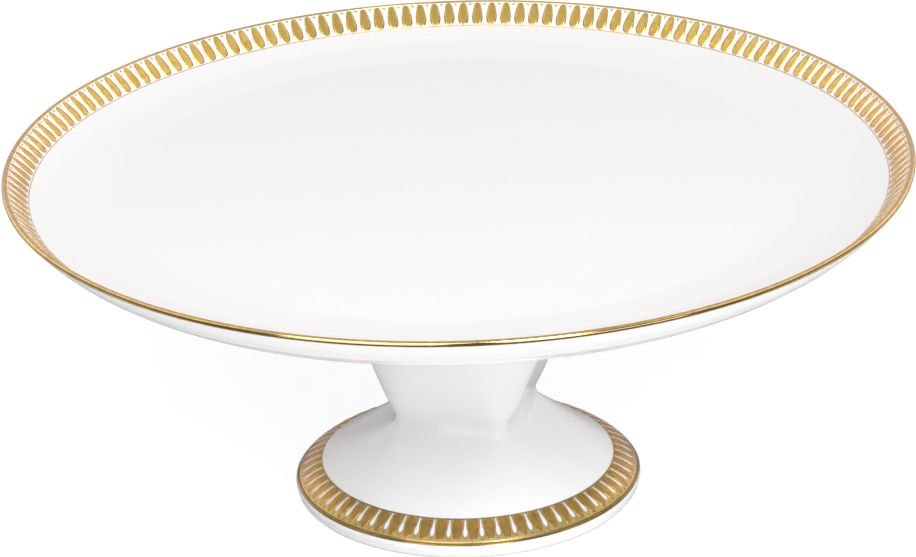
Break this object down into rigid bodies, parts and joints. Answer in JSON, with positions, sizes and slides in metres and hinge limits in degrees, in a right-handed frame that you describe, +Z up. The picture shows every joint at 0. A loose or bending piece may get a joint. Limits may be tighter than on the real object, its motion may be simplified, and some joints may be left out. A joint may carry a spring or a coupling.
{
  "type": "cake stand",
  "caption": "Footed porcelain cake stand: a wide round plate with a raised gilded rim, bolted to a hollow pedestal with a square waist and a round gilded foot.",
  "frame": {"origin": "centre of the stand on the surface that it rests on, on the plate's axis", "axes": "+Z up along the plate's axis; +X and +Y square to two flat sides of the pedestal's waist"},
  "size_m": [0.31, 0.31, 0.124],
  "materials": {
    "porcelain": "gloss",
    "brass": "satin",
    "zinc_steel": "satin",
    "silicone": "matte",
    "rubber": "matte"
  },
  "bodies": {
    "root": {"plate": "porcelain", "pedestal": "porcelain", "seal_ring": "silicone", "threaded_insert": "brass", "tie_rod": "zinc_steel", "cushion_washer": "rubber", "load_washer": "zinc_steel", "spring_washer": "zinc_steel", "nut": "zinc_steel"}
  },
  "joints": []
}
